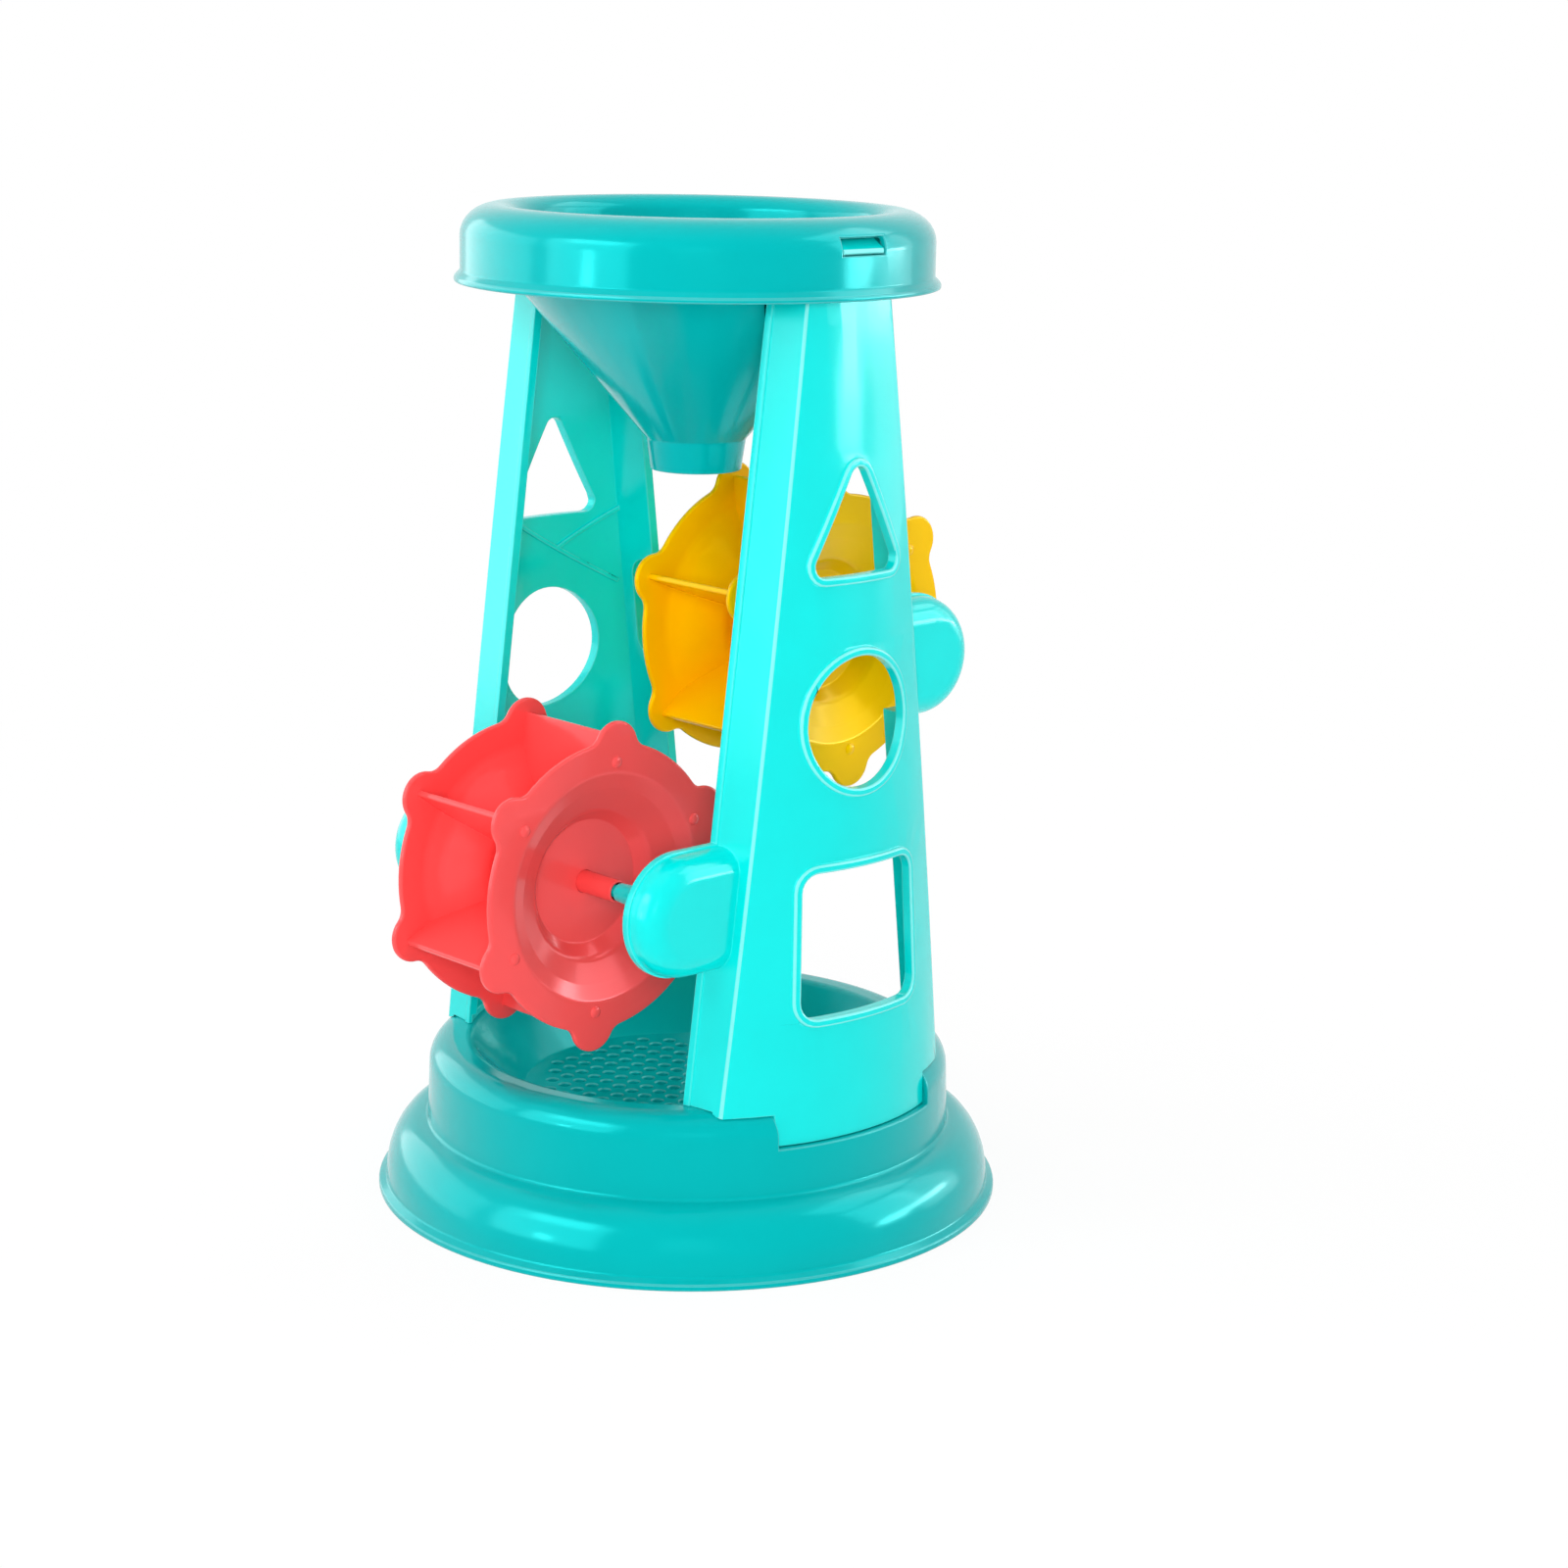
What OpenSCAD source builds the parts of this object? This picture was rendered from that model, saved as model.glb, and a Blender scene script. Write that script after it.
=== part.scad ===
// Sand wheel toy: a hopper on two legs pours sand over two bucket wheels into a sieve base.
// Millimetres. The ground is z = 0 and the middle of the base is x = y = 0.
// The wheel axles run along X, the legs stand at +X and -X, and the lower wheel is in front, at -Y.

/* [Overall] */
// Height of the whole toy
total_h = 250; // [244:1:262]
// Diameter of the base over its bottom lip
base_d = 160; // [156:1:176]

/* [Base] */
// Height of the base from the ground to its crest
base_h = 39; // [37:0.5:42]
// Height of the flared skirt at the foot of the base
skirt_h = 18; // [16:0.5:20]
// Height of the skirt's widest ring above the ground
skirt_foot_h = 3; // [2.8:0.1:4]
// Diameter of the drum just above the skirt
drum_d = 134.6; // [134:0.2:137]
// How much smaller the drum's radius is at its top
drum_draft = 0.5; // [0.3:0.1:1]
// Radius of the hollow corner between skirt and drum
crease_r = 1; // [0.8:0.1:1.6]
// Radius of the drum's rounded outer top edge
roll_r = 6.5; // [6:0.1:7]
// Width of the flat top of the drum, where the legs stand
crest_w = 2.5; // [2:0.1:3.5]
// Radius of the rounded edge from the crest into the bowl
bowl_roll_r = 3.5; // [3:0.1:4.5]
// Steepness of the bowl's side, in degrees from level
bowl_slope = 45; // [42:1:52]
// Height of the sieve's upper face above the ground
sieve_z = 25; // [23:0.5:27]
// Wall thickness of the base
base_wall = 2; // [1.6:0.1:2.2]
// Height of the thin lip round the bottom of the base
base_lip_h = 1.6; // [1.2:0.1:2]
// How far that lip stands out from the skirt
base_lip_out = 2; // [1:0.1:2.4]

/* [Sieve] */
// Diameter of one sieve hole
sieve_hole_d = 2.8; // [2.2:0.1:3.4]
// Distance between sieve holes, in rows and between rows
sieve_pitch = 5; // [4.4:0.1:7]
// Plain border between the outermost holes' middles and the bowl's side
sieve_border = 4; // [3:0.5:8]

/* [Legs] */
// Wall thickness of the legs
leg_wall = 2; // [1.8:0.1:2.2]
// Width of a leg's outer face at the bottom of its tab
leg_foot_w = 76.6; // [74:0.2:79]
// Width of a leg's outer face under the hopper's rim
leg_top_w = 27.8; // [26:0.2:31]
// Distance from the open edges of one leg to those of the other
leg_gap = 83.6; // [82:0.2:85]
// Angle by which a leg's flanges spread towards their open edge
splay = 8.2; // [6:0.2:9]
// How far the leg's face lies inside the drum's face at the tab
foot_inset = 1.6; // [1.2:0.1:1.8]
// How far the leg's face lies inside the rim's wall
leg_in_rim = 1.3; // [1:0.1:1.6]
// Width of the tab that hooks into the base
tab_w = 51; // [46:0.5:55]
// Length of the tab below the crest
tab_h = 9; // [8.5:0.1:9.5]
// Drop of the leg's outer wall over the drum's round edge
shoulder_drop = 1.2; // [0.8:0.1:1.6]
// Thickness of the plates that close a leg's top and foot
plate_t = 2; // [1.6:0.1:2.4]
// Width of the bead along the open edges
bead_w = 2; // [1.6:0.1:2.4]
// How far the bead stands out
bead_out = 0.6; // [0.4:0.1:0.9]
// Width of the two low stiffening ribs inside a leg
rib_w = 1.2; // [1:0.1:1.6]
// Height of those ribs above the inner face
rib_h = 0.8; // [0.5:0.1:1.2]

/* [Leg windows] */
// Width of the triangle, between its sharp corners
tri_w = 30.5; // [28:0.5:33]
// Height of the triangle, between its sharp corners
tri_h = 28.8; // [27:0.2:31]
// Height of the triangle's lower edge, as a share of the way from the crest up to the rim
tri_z_share = 0.6656; // [0.66:0.001:0.675]
// Corner radius of the triangle
tri_r = 2.8; // [1.8:0.1:3.2]
// Diameter of the round window
round_d = 32; // [28:0.5:33]
// Height of the round window's middle, as a share of the same way
round_z_share = 0.4815; // [0.47:0.001:0.49]
// Width of the big window at its lower edge
win_low_w = 38.6; // [35:0.2:40]
// Width of the big window at its upper edge
win_top_w = 36; // [32:0.2:37]
// Height of the big window
win_h = 35.8; // [33:0.2:38]
// Height of the big window's lower edge, as a share of the same way
win_z_share = 0.1123; // [0.105:0.001:0.12]
// Corner radius of the big window
win_r = 4.5; // [3:0.1:6]
// Width of the raised rim round each window
window_rim_w = 2; // [1.4:0.1:2.4]
// How far that rim stands out from the leg
window_rim_out = 1; // [0.6:0.1:1.4]

/* [Ears and axle pins] */
// Height of a wheel's ear on the leg's side
ear_d = 29.6; // [28:0.2:31]
// Depth of an ear, from its open edge to its closed face
ear_h = 9.3; // [8.5:0.1:10.5]
// Radius of the ear's rounded edge
ear_round = 6; // [4.5:0.1:7]
// Wall thickness of an ear
ear_wall = 1.8; // [1.6:0.1:2]
// How far an ear's middle lies below the axle
ear_drop = 1.2; // [0:0.1:2]
// Diameter of the journal that a wheel turns on
pin_d = 3.2; // [3:0.1:3.4]
// Radial clearance between journal and hub
pin_clearance = 0.08; // [0.04:0.01:0.1]
// Length of journal inside the hub
pin_grip = 8; // [6:0.5:10]
// Length of the journal's tapered tip
pin_tip_h = 1; // [0.6:0.1:1.4]
// Gap between the hub's end and the pin's shoulder
pin_end_play = 0.6; // [0.4:0.1:1]
// Diameter of the pin at its shoulder
pin_shoulder_d = 4.6; // [4.2:0.1:5]
// Diameter of the pin at the ear
pin_root_d = 7; // [6:0.1:8]

/* [Wheels] */
// Diameter of a wheel over its lobes
wheel_d = 82; // [80:0.2:84]
// Width of a wheel over its two discs
wheel_w = 36; // [34:0.5:38]
// Number of lobes, buckets and vanes
lobes = 6; // [5:1:7]
// Radius of a lobe's round tip
lobe_r = 6.4; // [5:0.1:7]
// How far the lobes stand out from the disc's round edge between them
lobe_out = 5.2; // [4:0.1:6]
// Radius of the hollow blend beside a lobe
blend_r = 4; // [3:0.1:5]
// Thickness of a disc
disc_t = 1.6; // [1.4:0.1:1.8]
// Width of a disc's flat border, from that edge to where the disc begins to slope inwards
border_w = 7.3; // [6.8:0.1:7.8]
// Width of the gentle slope inside the border
step_w = 4.1; // [3.6:0.1:4.6]
// Depth of the disc at the end of that slope
step_depth = 1.6; // [1.2:0.1:2]
// Diameter of the dish's flat floor
cup_d = 31; // [29:0.2:33]
// Depth of the dish's flat floor
cup_depth = 8; // [7:0.1:8.8]
// Thickness of a vane
vane_t = 1.5; // [1.3:0.1:1.8]
// How far the vanes reach out past the disc's round edge
vane_out = 1.7; // [0.7:0.1:2.7]
// Diameter of the hub tube
hub_d = 5.6; // [5.4:0.1:6.6]
// Length of the hub tube
hub_l = 45; // [42:0.5:48]
// Distance of a peg's middle from the disc's round edge
peg_inset = 4.8; // [4.3:0.1:5.3]
// Diameter of one peg
peg_d = 2.4; // [2:0.1:2.8]
// Length of a peg inside the vane
peg_root = 4; // [3:0.5:5]
// How far a peg stands out of the cover
peg_out = 0.6; // [0.4:0.1:0.9]
// Radial clearance of the cover on the pegs and on the hub tube
cover_clearance = 0.1; // [0.05:0.01:0.2]

/* [Lower wheel] */
// Distance of the lower axle in front of the base's middle
lower_front = 43.7; // [43:0.1:45]
// Height of the lower axle, as a share of the way from the crest up to the rim
lower_z_share = 0.2605; // [0.255:0.0005:0.27]
// Turn of the lower wheel's first lobe from upright, towards the back, in degrees
lower_turn = 5.9; // [0:0.1:59]

/* [Upper wheel] */
// Distance of the upper axle behind the base's middle
upper_back = 34; // [33:0.1:36]
// Height of the upper axle, as a share of the way from the crest up to the rim
upper_z_share = 0.5382; // [0.53:0.0005:0.545]
// Turn of the upper wheel's first lobe from upright, towards the back, in degrees
upper_turn = -8.2; // [-30:0.1:29]

/* [Hopper] */
// Diameter of the hopper's rim
rim_d = 116.2; // [115:0.2:118]
// Height of the hopper's rim
rim_h = 18.7; // [18:0.1:20]
// Height of the thin lip at the rim's lower edge
rim_lip_h = 1.2; // [0.8:0.1:1.6]
// How far that lip stands out
rim_lip_out = 1.5; // [0.8:0.1:1.8]
// Width of the rim's rounded outer shoulder
rim_round_w = 9; // [8:0.1:9.6]
// Height of the rim's rounded outer shoulder
rim_round_h = 7.6; // [7:0.1:8]
// Width of the rounded edge from the rim into the cup
mouth_round_w = 5; // [4.4:0.1:5.6]
// Height of that edge
mouth_round_h = 4; // [3.5:0.1:5]
// How much the cup's wall draws in down to the rim's lower edge
cup_draft = 1.3; // [1:0.1:2]
// Inner diameter of the spout at its top
spout_d = 21.4; // [20:0.2:24]
// Length of the spout
spout_h = 8.3; // [7:0.1:9]
// Height of the spout's end above the upper axle
spout_up = 43.3; // [42.5:0.1:44.5]
// How much the spout's radius draws in down to its end
spout_draft = 1.2; // [0.8:0.1:1.6]
// Wall thickness of the hopper
hopper_wall = 1.8; // [1.6:0.1:2]

/* [Snap joints] */
// Clearance between parts that snap together
snap_gap = 0.2; // [0.15:0.01:0.3]
// Width of the slot in the rim that shows a leg's hook
slot_w = 14; // [13:0.1:15]
// Height of that slot
slot_h = 4.2; // [4:0.1:4.8]
// Height of the slot above the rim's lower edge
slot_up = 10.4; // [10:0.1:10.8]
// How far the leg's body reaches up inside the rim
tuck_h = 9.7; // [9.2:0.1:10.2]
// Thickness of the ribs inside the rim that stop the leg
stop_t = 1.6; // [1.4:0.1:2]
// Distance between a pair of these ribs
stop_gap = 17; // [16:0.5:19]
// Height of a hook's sloping head
hook_h = 3.6; // [3.2:0.1:3.7]
// Height of the flat nose of a hook
hook_nose_h = 1; // [0.8:0.1:1.2]
// How far the hook's nose stays inside the rim's outer face
hook_inset = 0.5; // [0.3:0.1:0.8]
// Width of the hook on a leg's tab
tab_hook_w = 12; // [10:0.5:14]
// Height of the hook on a leg's tab
tab_hook_h = 3; // [2.6:0.1:3.2]
// How far that hook stands out
tab_hook_out = 1.4; // [1:0.1:1.8]

/* [Hidden] */

teal = [0.0, 0.72, 0.74];
aqua = [0.0, 0.9, 0.88];
coral = [0.95, 0.25, 0.3];
amber = [1.0, 0.72, 0.0];

// Facets of the large and small round forms, and steps of a rounded profile
large_fn = 128;
small_fn = 48;
hole_fn = 20;
arc_steps = 8;
blend_steps = 6;

// Overrun of cuts, and the size of blocks that cut everything away
cut = 1;
far = 2 * total_h;

// Base
base_r = base_d / 2;
drum_r = drum_d / 2;
drum_top_r = drum_r - drum_draft;
roll_x = drum_top_r - roll_r;
roll_z = base_h - roll_r;
bowl_roll_x = roll_x - crest_w;
bowl_roll_z = base_h - bowl_roll_r;
bowl_side_x = bowl_roll_x - bowl_roll_r * sin(bowl_slope);
bowl_side_z = bowl_roll_z + bowl_roll_r * cos(bowl_slope);
sieve_r = bowl_side_x - (bowl_side_z - sieve_z) / tan(bowl_slope);
skirt_r = base_r - base_lip_out;
skirt_x = drum_r + crease_r;
base_lip_step = base_lip_out / 2;
sieve_rows = floor((sieve_r - sieve_border) / sieve_pitch);

// Hopper
rim_r = rim_d / 2;
rim_z = total_h - rim_h;
span_h = rim_z - base_h;
rim_round_z = total_h - rim_round_h;
mouth_x = rim_r - rim_round_w;
mouth_z = total_h - mouth_round_h;
mouth_r = mouth_x - mouth_round_w;
cup_r = mouth_r - cup_draft;
upper_z = base_h + upper_z_share * span_h;
spout_r = spout_d / 2;
spout_z = upper_z + spout_up;
funnel_z = spout_z + spout_h;
slot_z = rim_z + slot_up;

// Legs: the outer face is a cone that leans from the drum to the inside of the rim
tab_z = base_h - tab_h;
leg_top_z = rim_z + tuck_h;
drum_lean = drum_draft / (roll_z - skirt_h - crease_r);
leg_foot_r = drum_r - drum_lean * (tab_z - skirt_h - crease_r) - foot_inset;
leg_rim_r = rim_r - hopper_wall - leg_in_rim;
leg_open_x = leg_gap / 2;
corner_x = sqrt(leg_foot_r * leg_foot_r - leg_foot_w * leg_foot_w / 4);
lean = atan((leg_foot_w - leg_top_w) / 2 / (rim_z - tab_z));
foot_in_r = bowl_roll_x - crest_w / 2;
tri_z = base_h + tri_z_share * span_h;
round_z = base_h + round_z_share * span_h;
win_z = base_h + win_z_share * span_h;

// Ribs inside a leg: the places of their ends, as shares of the triangle window's width and height
rib_long_shares = [[-0.79, 0.18], [0.67, -0.66]];
rib_short_shares = [[0.06, -0.31], [0.73, 0.07]];

// Ears and pins
ear_r = ear_d / 2;
ear_run = ear_r + 2 * leg_wall;
hub_end = hub_l / 2;
pin_r = pin_d / 2;
pin_tip_x = hub_end - pin_grip;
pin_shoulder_x = hub_end + pin_end_play;
pin_root_x = leg_open_x + ear_h - ear_wall;

// Wheels
lower_z = base_h + lower_z_share * span_h;
lobe_x = wheel_d / 2 - lobe_r;
valley_r = wheel_d / 2 - lobe_out;
dish_r = valley_r - border_w;
step_r = dish_r - step_w;
vane_r = valley_r + vane_out;
peg_ring_r = valley_r - peg_inset;
peg_r = peg_d / 2;
half_w = wheel_w / 2;
hub_r = hub_d / 2;

// Hooks
hook_w = slot_w - 4 * snap_gap;
hook_z = slot_z + snap_gap;
hook_x = rim_r - hook_inset;
tab_hook_z = tab_z + tab_h / 2 - tab_hook_h / 2;

// Radius of the legs' outer face at a height
function face_r(z) = leg_foot_r + (leg_rim_r - leg_foot_r) * (z - tab_z) / (rim_z - tab_z);

// A round or oval stretch of a profile about a middle, from one angle to another
function arc(middle, rx, ry, from, to, first = 0) = [for (i = [first:arc_steps])
    let (a = from + (to - from) * i / arc_steps) middle + [rx * cos(a), ry * sin(a)]];

// The unit vector to the right of the way from one point to the next
function right_of(a, b) = let (u = (b - a) / norm(b - a)) [u.y, -u.x];

// A path moved to its right by t, with mitred corners
function pushed(path, t) = [for (i = [0:len(path) - 1])
    let (before = right_of(path[max(i - 1, 0)], path[max(i, 1)]),
        after = i == len(path) - 1 ? before : right_of(path[i], path[i + 1]))
    path[i] + t * (before + after) / (1 + before * after)];

function reversed(list) = [for (i = [len(list) - 1:-1:0]) list[i]];

// The outline of a wall of thickness t along a path
function wall(path, t) = concat(path, reversed(pushed(path, t)));

// The outline of everything between a path and the axis
function to_axis(path) = concat(path, [[0, path[len(path) - 1].y], [0, path[0].y]]);

// The outline of a convex shape with corners rounded by r and then grown by grow
function rounded(corners, r, grow) = [for (i = [0:len(corners) - 1])
    let (n = len(corners),
        here = corners[i],
        u = (corners[(i + n - 1) % n] - here) / norm(corners[(i + n - 1) % n] - here),
        v = (corners[(i + 1) % n] - here) / norm(corners[(i + 1) % n] - here),
        middle = here + (u + v) / norm(u + v) * r / sin(acos(u * v) / 2),
        from = atan2(u.x, -u.y),
        turn = 180 - acos(u * v))
    for (k = [0:blend_steps]) middle + (r + grow) * [cos(from + turn * k / blend_steps),
        sin(from + turn * k / blend_steps)]];

// The bowl, the drum and the skirt, from the sieve's middle out and down to the ground
base_path = concat(
    [[0, sieve_z], [sieve_r, sieve_z]],
    arc([bowl_roll_x, bowl_roll_z], bowl_roll_r, bowl_roll_r, 90 + bowl_slope, 90),
    arc([roll_x, roll_z], roll_r, roll_r, 90, 0),
    arc([drum_r + crease_r, skirt_h + crease_r], crease_r, crease_r, 180, 270),
    arc([skirt_x, skirt_foot_h], skirt_r - skirt_x, skirt_h - skirt_foot_h, 90, 0, 1),
    [[skirt_r, base_lip_h + base_lip_step], [base_r, base_lip_h], [base_r, 0]]);

// The cup, the mouth and the rim, from the spout's end up and over to the rim's lower edge
cup_path = [[spout_r - spout_draft, spout_z], [spout_r, funnel_z], [cup_r, rim_z], [mouth_r, mouth_z]];
hopper_path = concat(
    [cup_path[0], cup_path[1], cup_path[2]],
    arc([mouth_x, mouth_z], mouth_round_w, mouth_round_h, 180, 90),
    arc([mouth_x, rim_round_z], rim_round_w, rim_round_h, 90, 0, 1),
    [[rim_r, rim_z + rim_lip_h + rim_lip_out], [rim_r + rim_lip_out, rim_z + rim_lip_h],
        [rim_r + rim_lip_out, rim_z]]);

// One dished disc, as radius and depth, from a place on its flat border to the axle
function disc_path(border_r) = [[border_r, 0], [dish_r, 0], [step_r, step_depth],
    [cup_d / 2, cup_depth], [0, cup_depth]];

// A block round a leg's tab, grown on all sides, and open upwards and outwards
module tab_block(grow) {
    half = tab_w / 2 + grow;
    difference() {
        translate([0, -half, tab_z - grow]) cube([far, 2 * half, far]);
        cone_form(-leg_wall - grow, tab_z - tab_h, base_h + tab_h);
    }
}

module tab_window(grow) {
    half = tab_hook_w / 2 + grow;
    translate([roll_x, -half, tab_hook_z - grow])
        cube([leg_foot_r - roll_x - leg_wall / 2, 2 * half, tab_hook_h + 2 * grow]);
}

module base_form(grow) {
    rotate_extrude($fn = large_fn) polygon(to_axis(pushed(base_path, -grow)));
}

module sieve_holes() {
    for (i = [-sieve_rows:sieve_rows], j = [-sieve_rows:sieve_rows]) {
        if (norm([i, j]) * sieve_pitch <= sieve_r - sieve_border) {
            translate([i * sieve_pitch, j * sieve_pitch, sieve_z - base_wall - cut])
                cylinder(h = base_wall + 2 * cut, d = sieve_hole_d, $fn = hole_fn);
        }
    }
}

module base() {
    color(teal)
    difference() {
        union() {
            rotate_extrude($fn = large_fn) polygon(wall(base_path, base_wall));
            for (turn = [0, 180]) rotate([0, 0, turn]) intersection() {
                base_form(0);
                tab_block(snap_gap + base_wall);
            }
        }
        for (turn = [0, 180]) rotate([0, 0, turn]) {
            tab_block(snap_gap);
            tab_window(snap_gap);
        }
        sieve_holes();
    }
}

// The cone of the legs' outer faces, grown, between two heights
module cone_form(grow, z0, z1) {
    translate([0, 0, z0])
        cylinder(h = z1 - z0, r1 = face_r(z0) + grow, r2 = face_r(z1) + grow, $fn = large_fn);
}

// Everything outside the plane of one flange, with that plane moved inwards
module beyond_flange(side, inset) {
    translate([corner_x, side * leg_foot_w / 2, tab_z])
        rotate([side * lean, 0, 0]) rotate([0, 0, -side * splay])
        translate([-far / 2, side > 0 ? -inset : inset - far, -far / 2]) cube(far);
}

// The space inside a leg's outer faces, moved inwards, from x0 outwards and between two heights
module leg_form(inset, x0, z0, z1) {
    difference() {
        intersection() {
            cone_form(-inset, z0, z1);
            translate([x0, -far / 2, 0]) cube(far);
        }
        beyond_flange(1, inset);
        beyond_flange(-1, inset);
    }
}

// A thin bead along the open edges of the flanges
module leg_bead() {
    intersection() {
        leg_form(-bead_out, leg_open_x, base_h, rim_z);
        translate([leg_open_x, -far / 2, 0]) cube([bead_w, far, far]);
    }
}

// A solid that carries a half section, radius and depth, round an ear's end and along its run
module ear_form(half) {
    section = concat([for (p = half) [p.y, p.x]], reversed([for (p = half) [p.y, -p.x]]));
    translate([0, 0, -ear_drop]) {
        rotate([0, 90, 0]) rotate_extrude(angle = 180, $fn = large_fn) polygon(half);
        rotate([90, 0, 0]) linear_extrude(ear_run) polygon(section);
    }
}

module ear_dome(inset, start) {
    ear_form(concat(
        [[0, start], [ear_r - inset, start]],
        arc([ear_r - ear_round, ear_h - ear_round], ear_round - inset, ear_round - inset, 0, 90),
        [[0, ear_h - inset]]));
}

module ear_outside() {
    ear_dome(0, 0);
    ear_form([[0, 0], [ear_r + bead_out, 0], [ear_r + bead_out, bead_w], [0, bead_w]]);
}

// Puts something made for an ear at the lower axle, in front, or at the upper one, behind
module at_lower() {
    translate([leg_open_x, -lower_front, lower_z]) mirror([0, 1, 0]) children();
}

module at_upper() {
    translate([leg_open_x, upper_back, upper_z]) children();
}

// The pin inside an ear: a tapered root, a shoulder and the journal with its tip
module axle_pin() {
    tip_r = pin_r - pin_tip_h / 2;
    translate([-leg_open_x, 0, 0]) rotate([0, 90, 0]) rotate_extrude($fn = small_fn) polygon([
        [0, pin_tip_x], [tip_r, pin_tip_x], [pin_r, pin_tip_x + pin_tip_h], [pin_r, pin_shoulder_x],
        [pin_shoulder_d / 2, pin_shoulder_x], [pin_root_d / 2, leg_open_x],
        [pin_root_d / 2, pin_root_x + ear_wall / 2], [0, pin_root_x + ear_wall / 2]]);
}

// A window's outline, as a bar along X through the leg's outer face
module window_bar(corners, r, grow) {
    rotate([90, 0, 90]) linear_extrude(far) polygon(rounded(corners, r, grow));
}

module windows(grow) {
    window_bar([[-tri_w / 2, tri_z], [tri_w / 2, tri_z], [0, tri_z + tri_h]], tri_r, grow);
    window_bar([[-win_low_w / 2, win_z], [win_low_w / 2, win_z], [win_top_w / 2, win_z + win_h],
        [-win_top_w / 2, win_z + win_h]], win_r, grow);
    translate([0, 0, round_z]) rotate([0, 90, 0])
        cylinder(h = far, r = round_d / 2 + grow, $fn = large_fn);
}

module window_rims() {
    intersection() {
        windows(window_rim_w);
        difference() {
            cone_form(window_rim_out, base_h, rim_z);
            cone_form(-leg_wall / 2, base_h - cut, rim_z + cut);
        }
    }
}

// A low rib on the inner face, between two places given as shares of the triangle window
module leg_rib(ends) {
    from = [ends[0].x * tri_w, tri_z + ends[0].y * tri_h];
    to = [ends[1].x * tri_w, tri_z + ends[1].y * tri_h];
    side = right_of(from, to) * rib_w / 2;
    intersection() {
        rotate([90, 0, 90]) linear_extrude(far) polygon([from - side, to - side, to + side, from + side]);
        difference() {
            cone_form(-leg_wall / 2, base_h, rim_z);
            cone_form(-leg_wall - rib_h, base_h - cut, rim_z + cut);
        }
        leg_form(leg_wall / 2, 0, base_h, rim_z);
    }
}

// The hook at a leg's top, whose nose shows in the rim's slot
module top_hook() {
    root_x = face_r(leg_top_z) - leg_wall;
    face_x = face_r(leg_top_z) - leg_wall / 2;
    translate([0, hook_w / 2, 0]) rotate([90, 0, 0]) linear_extrude(hook_w) polygon([
        [root_x, leg_top_z - plate_t], [face_x, leg_top_z - plate_t], [face_x, hook_z], [hook_x, hook_z],
        [hook_x, hook_z + hook_nose_h], [face_x, hook_z + hook_h], [root_x, hook_z + hook_h]]);
}

// The hook on the inner face of a leg's tab
module tab_hook() {
    face_x = face_r(tab_hook_z) - leg_wall;
    translate([0, tab_hook_w / 2, 0]) rotate([90, 0, 0]) linear_extrude(tab_hook_w) polygon([
        [face_x + leg_wall / 2, tab_hook_z], [face_x - tab_hook_out / 2, tab_hook_z],
        [face_x - tab_hook_out, tab_hook_z + tab_hook_h], [face_x + leg_wall / 2, tab_hook_z + tab_hook_h]]);
}

// What the base and the hopper keep clear of a leg
module leg_seats() {
    shoulder_z = base_h - shoulder_drop;
    cone_form(-leg_wall, tab_z - cut, base_h);
    for (y0 = [tab_w / 2, -tab_w / 2 - far]) translate([0, y0, shoulder_z - far]) cube(far);
    difference() {
        base_form(snap_gap);
        tab_block(0);
        translate([0, 0, base_h]) cylinder(h = far, r = base_r + cut, $fn = large_fn);
    }
    cylinder(h = base_h + plate_t, r = foot_in_r, $fn = large_fn);
    rotate_extrude($fn = large_fn) polygon(to_axis(pushed(cup_path, hopper_wall + snap_gap)));
}

module leg_shell() {
    difference() {
        union() {
            leg_form(0, leg_open_x, tab_z, leg_top_z);
            leg_bead();
            window_rims();
            intersection() {
                at_lower() ear_outside();
                beyond_flange(-1, leg_wall);
            }
            intersection() {
                at_upper() ear_outside();
                beyond_flange(1, leg_wall);
            }
        }
        leg_form(leg_wall, 0, base_h + plate_t, leg_top_z - plate_t);
        at_lower() ear_dome(ear_wall, -cut);
        at_upper() ear_dome(ear_wall, -cut);
        windows(0);
        leg_seats();
    }
}

module leg() {
    color(aqua)
    union() {
        leg_shell();
        leg_rib(rib_long_shares);
        leg_rib(rib_short_shares);
        at_lower() axle_pin();
        at_upper() axle_pin();
        top_hook();
        tab_hook();
    }
}

module leg_right() {
    leg();
}

module leg_left() {
    mirror([1, 0, 0]) leg();
}

// The ribs under the rim that a leg's top plate stands against
module stop_ribs() {
    void_path = pushed(hopper_path, hopper_wall / 2);
    for (turn = [0, 180], side = [-1, 1]) rotate([0, 0, turn]) intersection() {
        rotate_extrude($fn = large_fn) polygon([for (p = void_path) if (p.y >= leg_top_z) p]);
        translate([0, side * (stop_gap + stop_t) / 2 - stop_t / 2, leg_top_z]) cube([far, stop_t, far]);
    }
}

module hopper() {
    color(teal)
    difference() {
        union() {
            rotate_extrude($fn = large_fn) polygon(wall(hopper_path, hopper_wall));
            stop_ribs();
        }
        for (turn = [0, 180]) rotate([0, 0, turn])
            translate([leg_rim_r, -slot_w / 2, slot_z]) cube([rim_r, slot_w, slot_h]);
    }
}

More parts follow.
